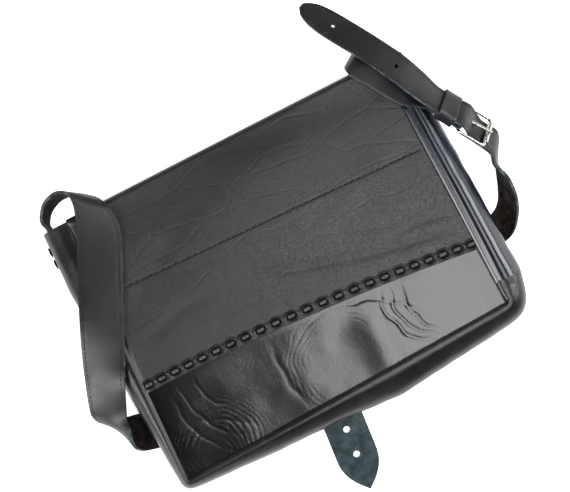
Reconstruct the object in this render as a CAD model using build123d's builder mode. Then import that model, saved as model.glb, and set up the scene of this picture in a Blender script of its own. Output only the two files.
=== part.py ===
"""Leather shoulder bag with a flap, lying on its front with its back panel up.

Millimetres. X runs along the bag's width, Y from its bottom towards its top edge,
Z up out of the back panel. The origin is on the flap's outer face, which is what
the bag rests on, so Z = 0 is the surface it lies on.
"""

import os
from math import atan2, cos, degrees, radians, sin

from build123d import *

# ---------------------------------------------------------------- driving sizes
panel_height = 262.0  # back panel, top fold to the lower left corner
top_width = 323.0  # back panel along the top fold
bottom_width = 336.0  # back panel along the bottom
bottom_shift = -3.5  # the hand-cut bottom edge sits this far to the left
bottom_rise = 11.0  # and its right end is this much higher than its left

body_depth = 40.0  # front panel's outer face to back panel's outer face
under_gap = 14.0  # room below the front panel for flap, tongue, strap and stud
hide = 2.4  # thickness of the bag's leather
gusset_bulge = 27.0  # how far the rolled sides stand out from the panels
gusset_round = 10.0  # rounding of the rolled sides at the panels
touch_gap = 0.3  # clearance between pieces that move past each other

# the laced seam across the back panel
seam_left = 95.0  # height of the lace line above the lower left corner
seam_right = 63.0  # and above the lower right corner
seam_crown = 6.0  # how far the seam bows upwards in its middle
seam_lap = 6.0  # upper panel's cut edge below the lace line
seam_tuck = 7.0  # lower panel's hidden edge above the lace line
lace_pitch = 13.8
lace_width = 5.4
lace_thick = 1.5
lace_span = 8.0  # length of the lace that shows between its two slots
slot_play = 0.4  # slots are this much larger than the lace all round

# the sewn line across the upper panel, and the pocket that hangs from it
stitch_left = 77.0  # distance of the line below the top fold, at the left
stitch_right = 89.0
stitch_pitch = 6.5
stitch_length = 4.2
thread = 0.9
stitch_proud = 0.1  # what stands out of the leather where a strap passes over it
pocket_hide = 1.6
pocket_half_width = 120.0
pocket_hem = 7.0
pocket_bottom = -20.0

# flap and closing tongue
flap_reach = 217.0  # flap's front, from the fold to its lower edge
flap_corner = 30.0
tongue_x = -14.5  # where the tongue leaves the flap's lower edge
tongue_skew = 5.0  # degrees off square, as it was sewn on
tongue_width = 40.0
tongue_length = 139.5
tongue_root_length = 32.0
tongue_taper = 36.0  # length of the pointed end
tongue_hole_r = 3.3
tongue_hole_from_edge = 79.0
tongue_hole_pitch = 25.3

# closing stud on the front panel
stud_x = -21.5
stud_from_bottom = 16.0
stud_head_r = 4.0
stud_neck_r = 2.6
stud_base_r = 5.0
stud_clear = 0.8  # room between the stud and the tongue that hangs past it
screw_r = 1.5
screw_head_r = 5.0
stud_patch_r = 12.0
stud_patch_thick = 1.6

mouth_drop = 39.0  # the front panel's top edge lies this far below the fold
binding_width = 9.0
binding_thick = 1.2

# shoulder strap and its buckle
strap_thick = 3.0
belt_width = 28.0
buckle_strap_thick = 2.4
strap_hole_r = 1.9
wire_r = 1.5  # buckle wire
buckle_length = 30.0  # roller bar to strap bar
buckle_half_width = 17.2  # centre line of a side bar
buckle_corner = 5.0
roller_r = 2.7
bearing_play = 0.06
prong_r = 1.4
prong_loop_r = 3.2
prong_loop_width = 4.0
prong_slot = (14.0, 3.6)
keeper_start = 36.5
keeper_length = 17.0
keeper_wall = 1.8
keeper_corner = 2.5
chape_end = 62.0
rivet_r = 1.6
rivet_head_r = 4.5
rivet_head = 1.2
rivet_drops = (17.0, 29.0)  # below the top fold

# ---------------------------------------------------------------- derived places
top_y = panel_height / 2
bottom_y = -panel_height / 2
front_z = under_gap
back_z = under_gap + body_depth
lower_z = back_z - hide  # outer face of the lower back panel
mid_z = (front_z + back_z) / 2
flap_edge_y = top_y + hide - flap_reach
mouth_y = top_y - mouth_drop
stud_y = bottom_y + bottom_rise + stud_from_bottom - 6.0

tl = Vector(-top_width / 2, top_y)
tr = Vector(top_width / 2, top_y)
bl = Vector(bottom_shift - bottom_width / 2, bottom_y)
br = Vector(bottom_shift + bottom_width / 2, bottom_y + bottom_rise)


def left_x(y):
    return tl.X + (bl.X - tl.X) * (top_y - y) / (top_y - bl.Y)


def right_x(y):
    return tr.X + (br.X - tr.X) * (top_y - y) / (top_y - br.Y)


def seam_points(shift):
    """Left, middle and right point of the seam, moved up by shift."""
    left_y = bl.Y + seam_left + shift
    right_y = br.Y + seam_right + shift
    left = Vector(left_x(left_y), left_y)
    right = Vector(right_x(right_y), right_y)
    return left, (left + right) / 2 + Vector(0, seam_crown), right


os.makedirs("parts", exist_ok=True)


def write(part, name):
    part.label = name
    export_step(part, f"parts/{name}.step")


# ---------------------------------------------------------------- back panel
lace_left, lace_mid, lace_right = seam_points(0)
lace_count = int((lace_right.X - lace_left.X - 13) // lace_pitch) + 1
with BuildLine():
    lace_line = ThreePointArc(lace_left, lace_mid, lace_right)
lace_run = (lace_count - 1) * lace_pitch / lace_line.length
lace_start = 8.0 / lace_line.length


def lace_plane(step, z):
    """Working plane on the lace line, step stitches from the left."""
    share = lace_start + lace_run * step / (lace_count - 1)
    spot = lace_line @ share
    return Plane(
        origin=(spot.X, spot.Y, z), x_dir=lace_line % share, z_dir=(0, 0, 1)
    )


leg_x = lace_span / 2 - lace_thick / 2
lace_low = lower_z - hide - lace_thick

with BuildPart() as slot_cutter:
    for step in range(lace_count):
        with BuildSketch(lace_plane(step, lace_low)):
            with Locations((-leg_x, 0), (leg_x, 0)):
                Rectangle(lace_thick + 2 * slot_play, lace_width + 2 * slot_play)
    extrude(amount=back_z - lace_low + hide)

cut_left, cut_mid, cut_right = seam_points(-seam_lap)
with BuildPart() as back_panel_upper:
    with BuildSketch(Plane.XY.offset(back_z - hide)):
        with BuildLine():
            Polyline(cut_left, tl, tr, cut_right)
            ThreePointArc(cut_right, cut_mid, cut_left)
        make_face()
    extrude(amount=hide)
    add(slot_cutter.part, mode=Mode.SUBTRACT)
write(back_panel_upper.part, "back_panel_upper")

tuck_left, tuck_mid, tuck_right = seam_points(seam_tuck)
with BuildPart() as back_panel_lower:
    with BuildSketch(Plane.XY.offset(lower_z - hide)):
        with BuildLine():
            Polyline(tuck_left, bl, br, tuck_right)
            ThreePointArc(tuck_right, tuck_mid, tuck_left)
        make_face()
    extrude(amount=hide)
    add(slot_cutter.part, mode=Mode.SUBTRACT)
write(back_panel_lower.part, "back_panel_lower")

with BuildPart() as seam_lace:
    for step in range(lace_count):
        with BuildSketch(lace_plane(step, back_z)):
            Rectangle(lace_span, lace_width)
    extrude(amount=lace_thick)
    for step in range(lace_count):
        with BuildSketch(lace_plane(step, lace_low)):
            with Locations((-leg_x, 0), (leg_x, 0)):
                Rectangle(lace_thick, lace_width)
    extrude(amount=back_z - lace_low + lace_thick)
    for step in range(lace_count - 1):
        with BuildSketch(lace_plane(step + 0.5, lace_low)):
            Rectangle(lace_pitch - 2 * leg_x + lace_thick, lace_width)
    extrude(amount=lace_thick)
write(seam_lace.part, "seam_lace")

# ---------------------------------------------------------------- sewn line and pocket
stitch_from = Vector(left_x(top_y - stitch_left) + 6, top_y - stitch_left)
stitch_to = Vector(right_x(top_y - stitch_right) - 6, top_y - stitch_right)
stitch_way = stitch_to - stitch_from
stitch_count = int(stitch_way.length // stitch_pitch)
pocket_z = back_z - hide - pocket_hide


def stitch_plane(step, z):
    spot = stitch_from + stitch_way * ((step + 0.5) / stitch_count)
    return Plane(origin=(spot.X, spot.Y, z), x_dir=stitch_way, z_dir=(0, 0, 1))


with BuildPart() as back_stitching:
    for step in range(stitch_count):
        with BuildSketch(stitch_plane(step, back_z)):
            SlotOverall(stitch_length, thread)
    extrude(amount=0.6)
    for step in range(stitch_count):
        with BuildSketch(stitch_plane(step, pocket_z)):
            with Locations((0.9 - stitch_length / 2, 0), (stitch_length / 2 - 0.9, 0)):
                Circle(thread / 2 - 0.05)
    extrude(amount=back_z + 0.3 - pocket_z)
write(back_stitching.part, "back_stitching")

pocket_top = stitch_from.Y + pocket_hem
with BuildPart() as inner_pocket:
    with BuildSketch(Plane.XY.offset(pocket_z)):
        with Locations((0, (pocket_top + pocket_bottom) / 2)):
            Rectangle(2 * pocket_half_width, pocket_top - pocket_bottom)
    extrude(amount=pocket_hide)
    fillet(inner_pocket.edges().filter_by(Axis.Z).group_by(Axis.Y)[0], 20)
write(inner_pocket.part, "inner_pocket")

# ---------------------------------------------------------------- strap rivets
# Each side has two, through the gusset's wall and the strap's end inside it.
left_bulge = gusset_bulge
right_bulge = gusset_bulge * 0.85
left_strap_in = left_bulge - 7.3  # strap's middle, outwards from the panel's edge
right_strap_in = right_bulge - 7.0
with BuildPart() as rivet_bores:
    with BuildSketch(Plane.YZ.offset(-top_width / 2 - left_bulge - 6)):
        with Locations(*[(top_y - drop, mid_z) for drop in rivet_drops]):
            Circle(rivet_r)
    extrude(amount=16)
    with BuildSketch(Plane.YZ.offset(top_width / 2 + right_bulge + 6)):
        with Locations(*[(top_y - drop, mid_z) for drop in rivet_drops]):
            Circle(rivet_r)
    extrude(amount=-16)

# ---------------------------------------------------------------- gussets
left_out = Vector(-1, 0)
right_out = Vector(1, 0)
down_out = Vector(0, -1)


def rolled_section(point, outward, bulge, wall=hide, inset=0.0):
    """C-shaped section of a rolled side, open towards the panels."""
    plane = Plane(origin=(point.X, point.Y, 0), x_dir=outward, z_dir=outward.cross(Vector(0, 0, 1)))
    low, high = front_z + inset, back_z - hide / 2 - inset
    out, curve = bulge - inset, gusset_round - inset
    with BuildSketch(plane) as section:
        with BuildLine():
            EllipticalCenterArc((0, high - curve), out, curve, 0, arc_size=90)
            Line((out, low + curve), (out, high - curve))
            EllipticalCenterArc((0, low + curve), out, curve, -90, arc_size=90)
            Line((0, low), (0, low + wall))
            EllipticalCenterArc((0, low + curve), out - wall, curve - wall, -90, arc_size=90)
            Line((out - wall, low + curve), (out - wall, high - curve))
            EllipticalCenterArc((0, high - curve), out - wall, curve - wall, 0, arc_size=90)
            Line((0, high - wall), (0, high))
        make_face()
    return section.sketch


def along(start, end, share):
    return start + (end - start) * share


junction = along(br, tr, 0.09)  # where the two gusset leathers meet
lace_x = junction.X + 11
lace_ends = (junction.Y - lace_span + 1, junction.Y + lace_span - 1)
with BuildPart() as gusset_lace:
    with BuildSketch(Plane.XY.offset(lower_z + 0.9)):
        with Locations((lace_x, junction.Y)):
            Rectangle(lace_width, 2 * lace_span)
    extrude(amount=lace_thick)
    with BuildSketch(Plane.XY.offset(lower_z - 6)):
        with Locations((lace_x, lace_ends[0]), (lace_x, lace_ends[1])):
            Rectangle(lace_width, lace_thick)
    extrude(amount=7)
write(gusset_lace.part, "gusset_lace")

with BuildPart() as gusset_matte:
    add(rolled_section(tl, left_out, left_bulge))
    add(rolled_section(along(tl, bl, 0.3), left_out, left_bulge))
    add(rolled_section(along(tl, bl, 0.65), left_out, gusset_bulge * 0.67))
    add(rolled_section(bl, (left_out + down_out).normalized(), gusset_bulge * 0.42))
    add(rolled_section(along(bl, br, 0.25), down_out, gusset_bulge * 0.7))
    add(rolled_section(along(bl, br, 0.55), down_out, gusset_bulge))
    add(rolled_section(along(bl, br, 0.78), down_out, gusset_bulge * 0.9))
    add(rolled_section(br, (right_out + down_out).normalized(), gusset_bulge * 0.75))
    add(rolled_section(junction, right_out, gusset_bulge * 0.95))
    loft(ruled=True)
    add(rivet_bores.part, mode=Mode.SUBTRACT)
    add(gusset_lace.part, mode=Mode.SUBTRACT)
write(gusset_matte.part, "gusset_matte")

with BuildPart() as gusset_navy:
    add(rolled_section(junction, right_out, gusset_bulge * 0.95))
    add(rolled_section(along(br, tr, 0.45), right_out, gusset_bulge * 0.9))
    add(rolled_section(along(br, tr, 0.72), right_out, right_bulge))
    add(rolled_section(tr, right_out, right_bulge))
    loft(ruled=True)
    add(rivet_bores.part, mode=Mode.SUBTRACT)
    add(gusset_lace.part, mode=Mode.SUBTRACT)
write(gusset_navy.part, "gusset_navy")

hem_length = 12.0
with BuildPart() as gusset_hem:
    add(rolled_section(tl, left_out, left_bulge, wall=1.4, inset=hide + 0.1))
    hem_end = along(tl, bl, hem_length / panel_height)
    add(rolled_section(hem_end, left_out, left_bulge, wall=1.4, inset=hide + 0.1))
    loft(ruled=True)
write(gusset_hem.part, "gusset_hem")

# ---------------------------------------------------------------- front panel
with BuildPart() as front_panel:
    with BuildSketch(Plane.XY.offset(front_z)):
        with BuildLine():
            Polyline(
                (left_x(mouth_y), mouth_y), bl, br, (right_x(mouth_y), mouth_y), close=True
            )
        make_face()
        with Locations((stud_x, stud_y)):
            Circle(screw_r + 0.2, mode=Mode.SUBTRACT)
    extrude(amount=hide)
write(front_panel.part, "front_panel")

binding_low = mouth_y - binding_width
with BuildPart() as mouth_binding:
    with BuildSketch(Plane.YZ):
        with BuildLine():
            Polyline(
                (binding_low, front_z),
                (mouth_y, front_z),
                (mouth_y, front_z + hide),
                (binding_low, front_z + hide),
                (binding_low, front_z + hide + binding_thick),
                (mouth_y + binding_thick, front_z + hide + binding_thick),
                (mouth_y + binding_thick, front_z - binding_thick),
                (binding_low, front_z - binding_thick),
                close=True,
            )
        make_face()
    extrude(amount=top_width / 2 - 4, both=True)
write(mouth_binding.part, "mouth_binding")

# ---------------------------------------------------------------- flap
with BuildPart() as flap_top:
    with BuildSketch(Plane.XY.offset(hide + touch_gap)):
        with Locations((0, top_y + hide / 2)):
            Rectangle(top_width, hide)
    extrude(amount=back_z - hide - touch_gap)
    fillet(flap_top.edges().filter_by(Axis.X).group_by(Axis.Z)[-1].sort_by(Axis.Y)[-1], 1.8)
write(flap_top.part, "flap_top")

fold_y = top_y + hide
with BuildPart() as flap_front:
    with BuildSketch():
        with Locations((0, (fold_y - touch_gap / 2 + flap_edge_y) / 2)):
            Rectangle(top_width, fold_y - touch_gap / 2 - flap_edge_y)
    extrude(amount=hide)
    fillet(flap_front.edges().filter_by(Axis.Z).group_by(Axis.Y)[0], flap_corner)
write(flap_front.part, "flap_front")

tongue_plane = Plane(
    origin=(tongue_x, flap_edge_y, hide),
    x_dir=(cos(radians(-tongue_skew)), sin(radians(-tongue_skew)), 0),
    z_dir=(0, 0, 1),
)
half_tongue = tongue_width / 2
crease = half_tongue * sin(radians(tongue_skew)) + touch_gap  # square ends clear the flap's edge
with BuildPart() as tongue_root:
    with BuildSketch(tongue_plane):
        with BuildLine():
            Polyline(
                (-half_tongue, crease),
                (half_tongue, crease),
                (half_tongue, tongue_root_length),
                (-half_tongue, tongue_root_length),
                close=True,
            )
        make_face()
    extrude(amount=hide)
write(tongue_root.part, "tongue_root")

straight = tongue_length - tongue_taper
with BuildPart() as tongue:
    with BuildSketch(tongue_plane):
        with BuildLine():
            Polyline(
                (-half_tongue, -straight),
                (-half_tongue, -crease),
                (half_tongue, -crease),
                (half_tongue, -straight),
            )
            ThreePointArc(
                (half_tongue, -straight),
                (half_tongue * 0.66, -straight - tongue_taper * 0.62),
                (1.2, -tongue_length),
            )
            Line((1.2, -tongue_length), (-1.2, -tongue_length))
            ThreePointArc(
                (-1.2, -tongue_length),
                (-half_tongue * 0.66, -straight - tongue_taper * 0.62),
                (-half_tongue, -straight),
            )
        make_face()
        with Locations(
            (0, -tongue_hole_from_edge), (0, -tongue_hole_from_edge - tongue_hole_pitch)
        ):
            Circle(tongue_hole_r, mode=Mode.SUBTRACT)
    extrude(amount=hide)
write(tongue.part, "tongue")

root_stitches = [
    (side * (half_tongue - 3.5), crease + 4 + 6 * step) for side in (-1, 1) for step in range(4)
]
with BuildPart() as tongue_stitching:
    with BuildSketch(tongue_plane.offset(hide)):
        with Locations(*root_stitches):
            SlotOverall(stitch_length, thread, rotation=90)
    extrude(amount=stitch_proud)
    with BuildSketch(tongue_plane.offset(-hide / 2)):
        with Locations(*root_stitches):
            Circle(thread / 2 - 0.05)
    extrude(amount=1.5 * hide + stitch_proud / 2)
write(tongue_stitching.part, "tongue_stitching")

# ---------------------------------------------------------------- closing stud
stud_low = 2 * hide + stud_clear
with BuildPart() as closing_stud:
    with BuildSketch(Plane(origin=(stud_x, stud_y, 0), x_dir=(1, 0, 0), z_dir=(0, -1, 0))):
        with BuildLine():
            Polyline(
                (screw_r + 0.05, front_z),
                (stud_base_r, front_z),
                (stud_base_r, front_z - 1.0),
                (stud_neck_r, front_z - 1.6),
                (stud_neck_r, stud_low + 4.6),
            )
            ThreePointArc(
                (stud_neck_r, stud_low + 4.6),
                (stud_head_r, stud_low + 2.4),
                (2.2, stud_low),
            )
            Polyline(
                (2.2, stud_low),
                (0, stud_low),
                (0, front_z - 6),
                (screw_r + 0.05, front_z - 6),
                (screw_r + 0.05, front_z),
            )
        make_face()
    revolve(axis=Axis((stud_x, stud_y, 0), (0, 0, 1)))
write(closing_stud.part, "closing_stud")

patch_z = front_z + hide
with BuildPart() as stud_patch:
    with BuildSketch(Plane.XY.offset(patch_z)):
        with Locations((stud_x, stud_y)):
            Circle(stud_patch_r)
            Circle(screw_r + 0.2, mode=Mode.SUBTRACT)
    extrude(amount=stud_patch_thick)
write(stud_patch.part, "stud_patch")

with BuildPart() as stud_screw:
    with BuildSketch(Plane.XY.offset(front_z - 5)):
        with Locations((stud_x, stud_y)):
            Circle(screw_r)
    extrude(amount=5 + hide + stud_patch_thick)
    with BuildSketch(Plane.XY.offset(patch_z + stud_patch_thick)):
        with Locations((stud_x, stud_y)):
            Circle(screw_head_r)
    extrude(amount=1.2)
    with BuildSketch(Plane.XY.offset(patch_z + stud_patch_thick + 1.2)):
        with Locations((stud_x, stud_y)):
            Rectangle(2 * screw_head_r + 1, 1.2)
    extrude(amount=-0.7, mode=Mode.SUBTRACT)
write(stud_screw.part, "stud_screw")

# ---------------------------------------------------------------- buckle plane
# Its origin is the middle of the roller bar, X runs with the strap towards the
# free end, Y along the bar to the raised edge, Z out of the strap's face.
at_tl = Vector(tl.X, tl.Y, back_z)
at_tr = Vector(tr.X, tr.Y, back_z)
at_bl = Vector(bl.X, bl.Y, 0)
at_br = Vector(br.X, br.Y, 0)
buckle_plane = Plane(
    origin=at_tr + Vector(59.2, -104.1, -16),
    x_dir=(-0.541, 0.8215, 0.1803),
    z_dir=(0.5808, 0.2098, 0.7865),
)


def in_buckle(x, z, width=belt_width):
    """The two edges of a strap that passes the buckle at this x and z."""
    outer = buckle_plane.from_local_coords(Vector(x, -width / 2, z))
    raised = buckle_plane.from_local_coords(Vector(x, width / 2, z))
    return outer, raised


def from_corner(corner, points):
    return [(corner + Vector(*first), corner + Vector(*second)) for first, second in points]


# ---------------------------------------------------------------- shoulder strap
# Each stop of the route is the strap's first edge and its second edge, given from
# the nearest corner of the bag.
under_z = 2 * hide + stitch_proud + touch_gap + strap_thick / 2  # clears the tongue's stitches
ring_stops = from_corner(
    at_tl,
    [
        ((-left_strap_in, -37, -10), (-left_strap_in, -37, -31)),
        ((-left_strap_in, -10, -10), (-left_strap_in, -10, -31)),
        ((-20, 3.5, -8.8), (-20, 2.5, -32)),
        ((-21, 10, -5), (-20, 8.5, -32)),
        ((-17, 17, 0), (-12.5, 17.5, -28.5)),
        ((-9, 24, 5), (1.5, 23, -24)),
        ((1, 27, 9), (16, 21, -18.5)),
        ((9, 25.5, 12), (27.5, 13, -9.5)),
        ((14, 20, 12.5), (35.5, 5.5, 0.5)),
        ((14, 10, 11), (41, -3.5, 4.5)),
        ((10.5, -1.5, 8.5), (42.5, -15.5, 4)),
        ((5.5, -14.5, 6), (41.5, -28, 3.5)),
    ],
)
run_stops = from_corner(
    at_tl,
    [
        ((-1.5, -26.5, 4.5), (36.5, -41, 3)),
        ((-10.5, -45.5, 3), (27, -61, 2.5)),
        ((-19.5, -64, 2.5), (18, -80, 2.5)),
        ((-32, -91, 1.5), (5, -106.5, 3)),
    ],
)
wrap_stops = from_corner(
    Vector(bl.X, bl.Y, back_z),
    [
        ((-33, 147, -4), (3, 131, 2.5)),
        ((-43, 123, -11), (-9.5, 107, 2)),
        ((-52.5, 98.5, -17.5), (-21, 85.5, -13)),
    ],
) + from_corner(
    at_bl,
    [
        ((-54, 89, 28.5), (-26, 75, 38)),
        ((-51.5, 82, 18.5), (-28, 64, 40)),
        ((-44.5, 77.5, 9.5), (-32, 54, 34)),
        ((-34, 74.5, 3.5), (-32.5, 45.5, 25)),
        ((-21.5, 72.5, 2.5), (-28, 39.5, 15)),
        ((-10, 70.5, under_z), (-19.5, 36, under_z)),
    ],
)
under_stops = from_corner(
    at_bl,
    [
        ((12, 66, under_z), (12, 30, under_z)),
        ((50, 63.5, under_z), (50, 28.5, under_z)),
        ((100, 65, under_z), (100, 31, under_z)),
    ],
) + from_corner(
    at_br,
    [
        ((-176.5, 58, under_z), (-175.5, 26, under_z)),
        ((-106.5, 62, under_z), (-105.5, 32, under_z)),
        ((-46.5, 66.5, under_z), (-45.5, 37.5, under_z)),
        ((-7, 69.5, under_z), (-5, 41.5, under_z)),
    ],
)
bow_stops = from_corner(
    at_br,
    [
        ((16.5, 74, 7), (19.5, 46, 9)),
        ((33, 78.5, 8.5), (37.5, 52, 18)),
        ((42, 86.5, 11), (47.5, 65, 28)),
        ((47.5, 98, 13), (53.5, 80.5, 35)),
        ((53, 112, 13), (54.5, 102, 39)),
    ],
) + from_corner(at_tr, [((60.5, -129, -40.5), (51.5, -133.5, -14))])
through_buckle = (
    (-12, -6.5), (0, -4.6), (8, -4), (14, -1.5), (20, 2.2),
    (25, 5), (30, 5.8), (38, 4.4), (46, 4.1), (62, 4.1),
)
tail_stops = [in_buckle(x, z) for x, z in through_buckle] + from_corner(
    at_tr,
    [
        ((30, -27.5, -5), (10, -42.5, 8)),
        ((20, -5, -0.5), (-2, -19, 9.5)),
        ((4, 23.5, 0), (-18, 10.5, 10)),
        ((-14, 53.5, -2), (-36, 40.5, 8)),
        ((-25, 69, -3), (-44, 57, 6)),
        ((-34.5, 76.5, -2), (-46.5, 69.5, 3)),
        ((-40.5, 78.5, -1), (-44.5, 76, 1)),
    ],
)
strap_spans = {
    "strap_ring": ring_stops,
    "strap_run": run_stops,
    "strap_wrap": wrap_stops,
    "strap_under": under_stops,
    "strap_bow": bow_stops,
    "strap_tail": tail_stops,
}
strap_route = [stop for stops in strap_spans.values() for stop in stops]


def stop_plane(route, i):
    """Plane across the strap at stop i, its X along the strap's width."""
    middles = [(first + second) / 2 for first, second in route]
    ahead = middles[min(i + 1, len(route) - 1)] - middles[max(i - 1, 0)]
    across = (route[i][1] - route[i][0]).normalized()
    ahead = ahead - across * ahead.dot(across)
    return Plane(origin=middles[i], x_dir=across, z_dir=ahead)


def strap_section(route, i, thick):
    with BuildSketch(stop_plane(route, i)) as section:
        Rectangle((route[i][1] - route[i][0]).length, thick)
    return section.sketch


first_stop = 0
for name, stops in strap_spans.items():
    last_stop = min(first_stop + len(stops), len(strap_route) - 1)
    with BuildPart() as strap_span:
        for i in range(first_stop, last_stop):
            add(strap_section(strap_route, i, strap_thick))
            add(strap_section(strap_route, i + 1, strap_thick))
            loft(ruled=True)
        if name == "strap_ring":
            add(rivet_bores.part, mode=Mode.SUBTRACT)
        if name == "strap_tail":
            with BuildSketch(buckle_plane.offset(-10)):
                with Locations((21, 0)):
                    SlotOverall(*prong_slot)
            extrude(amount=20, mode=Mode.SUBTRACT)
            for i in (first_stop + 11, first_stop + 13):
                hole_plane = stop_plane(strap_route, i)
                face_plane = Plane(
                    origin=hole_plane.origin, x_dir=hole_plane.x_dir, z_dir=hole_plane.y_dir
                )
                with BuildSketch(face_plane):
                    Circle(strap_hole_r)
                extrude(amount=4, both=True, mode=Mode.SUBTRACT)
    write(strap_span.part, name)
    first_stop = last_stop

# ---------------------------------------------------------------- buckle strap
side_plane = Plane(origin=buckle_plane.origin, x_dir=buckle_plane.x_dir, z_dir=-buckle_plane.y_dir)
fold_r = wire_r + 0.2 + buckle_strap_thick
buckle_strap_route = [in_buckle(chape_end, buckle_strap_thick / 2)] + from_corner(
    at_tr,
    [
        ((28.5, -37.5, -8.5), (7.5, -51.5, 3.5)),
        ((19, -28.5, -2), (-4, -43.5, 4)),
        ((4.5, -7.5, 1.2), (-18.5, -22, 4.5)),
        ((-6.5, 10.5, 2.2), (-30, -4, 4.5)),
        ((-11.5, 18.5, -3), (-32.5, 2.5, 4)),
        ((-12, 22.5, -12), (-32, 8.5, -1.5)),
        ((-7, 22, -20), (-28, 10, -7.5)),
        ((1, 18.5, -28), (-16, 10, -9.5)),
        ((8, 15, -33), (-3, 12, -9)),
        ((15, 9, -33.5), (10.5, 9, -8.5)),
        ((right_strap_in, 0.5, -32.5), (right_strap_in - 0.5, 0.5, -8.5)),
        ((right_strap_in, -10, -31.5), (right_strap_in, -10, -9.5)),
        ((right_strap_in, -37, -31.5), (right_strap_in, -37, -9.5)),
    ],
)
with BuildPart() as buckle_strap:
    for i in range(len(buckle_strap_route) - 1):
        add(strap_section(buckle_strap_route, i, buckle_strap_thick))
        add(strap_section(buckle_strap_route, i + 1, buckle_strap_thick))
        loft(ruled=True)
    add(rivet_bores.part, mode=Mode.SUBTRACT)
    with BuildSketch(side_plane):
        with Locations((buckle_length, 0)):
            Circle(fold_r)
        with BuildLine():
            Polyline(
                (buckle_length, fold_r),
                (buckle_length + 8, buckle_strap_thick),
                (chape_end, buckle_strap_thick),
                (chape_end, -buckle_strap_thick),
                (buckle_length + 8, -buckle_strap_thick),
                (buckle_length, -fold_r),
                close=True,
            )
        make_face()
        with Locations((buckle_length, 0)):
            Circle(wire_r + 0.2, mode=Mode.SUBTRACT)
    extrude(amount=buckle_half_width - buckle_corner - touch_gap, both=True)
    with BuildSketch(buckle_plane.offset(-6)):
        with Locations((buckle_length, 0)):
            Rectangle(11, prong_loop_width + 1.2)
    extrude(amount=12, mode=Mode.SUBTRACT)
write(buckle_strap.part, "buckle_strap")

# ---------------------------------------------------------------- buckle
with BuildPart() as buckle_frame:
    with BuildLine(buckle_plane) as frame_path:
        FilletPolyline(
            (0, -buckle_half_width),
            (buckle_length, -buckle_half_width),
            (buckle_length, buckle_half_width),
            (0, buckle_half_width),
            radius=buckle_corner,
            close=True,
        )
    with BuildSketch(Plane(origin=frame_path.line @ 0, z_dir=frame_path.line % 0)):
        Circle(wire_r)
    sweep(path=frame_path.line)
write(buckle_frame.part, "buckle_frame")

roller_half = buckle_half_width - buckle_corner - touch_gap
with BuildPart() as buckle_roller:
    with BuildSketch(side_plane):
        Circle(roller_r)
        Circle(wire_r + bearing_play, mode=Mode.SUBTRACT)
    extrude(amount=roller_half, both=True)
write(buckle_roller.part, "buckle_roller")

prong_rise = roller_r + prong_r + 0.1
with BuildPart() as buckle_prong:
    with BuildSketch(side_plane):
        with Locations((buckle_length, 0)):
            Circle(prong_loop_r)
    extrude(amount=prong_loop_width / 2, both=True)
    with BuildLine(side_plane) as prong_path:
        Line((buckle_length - 1.5, 1.6), (-2.5, prong_rise + 0.15))
    with BuildSketch(Plane(origin=prong_path.line @ 0, z_dir=prong_path.line % 0)):
        Circle(prong_r)
    sweep(path=prong_path.line)
    with BuildSketch(side_plane):
        with Locations((buckle_length, 0)):
            Circle(wire_r + bearing_play)
    extrude(amount=prong_loop_width, both=True, mode=Mode.SUBTRACT)
write(buckle_prong.part, "buckle_prong")

keeper_plane = Plane(
    origin=buckle_plane.from_local_coords(Vector(keeper_start, 0, 0)),
    x_dir=buckle_plane.y_dir,
    z_dir=buckle_plane.x_dir,
)
keeper_half = belt_width / 2 + 0.8
keeper_low, keeper_high = -2.9, 6.9
with BuildPart() as strap_keeper:
    with BuildSketch(keeper_plane):
        with Locations((0, (keeper_low + keeper_high) / 2)):
            RectangleRounded(
                2 * (keeper_half + keeper_wall),
                keeper_high - keeper_low + 2 * keeper_wall,
                keeper_corner,
            )
            Rectangle(2 * keeper_half, keeper_high - keeper_low, mode=Mode.SUBTRACT)
    extrude(amount=keeper_length)
write(strap_keeper.part, "strap_keeper")

# ---------------------------------------------------------------- rivets
def strap_rivets(edge_x, outward, bulge, strap_in, thick, name):
    """Rivets headed on the strap inside and on the gusset's wall outside."""
    inner = abs(strap_in) - thick / 2
    with BuildPart() as rivets:
        for drop in rivet_drops:
            spot = (top_y - drop, outward * mid_z)
            lean = abs(edge_x(top_y - drop - rivet_head_r)) - top_width / 2
            reach = bulge + max(lean, 0) + 0.1
            facing = Plane(
                origin=(outward * top_width / 2, 0, 0), x_dir=(0, 1, 0), z_dir=(outward, 0, 0)
            )
            with BuildSketch(facing.offset(inner - rivet_head)):
                with Locations(spot):
                    Circle(rivet_head_r)
            extrude(amount=rivet_head)
            with BuildSketch(facing.offset(inner)):
                with Locations(spot):
                    Circle(rivet_r)
            extrude(amount=reach - inner)
            with BuildSketch(facing.offset(reach)):
                with Locations(spot):
                    Circle(rivet_head_r)
            extrude(amount=rivet_head)
    write(rivets.part, name)


strap_rivets(left_x, -1, left_bulge, left_strap_in, strap_thick, "left_strap_rivets")
strap_rivets(right_x, 1, right_bulge, right_strap_in, buckle_strap_thick, "right_strap_rivets")
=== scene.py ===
# %% [markdown]
# # A leather shoulder bag, lying on its flap
# The CAD model is the frame: every size and every moving body comes from it. Leather is soft, so
# the plates of the CAD model are covered here by hides that roll, crease and carry their stitching.

from math import cos, pi, radians, sin

import bpy
import numpy as np
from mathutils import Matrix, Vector, noise


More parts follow.
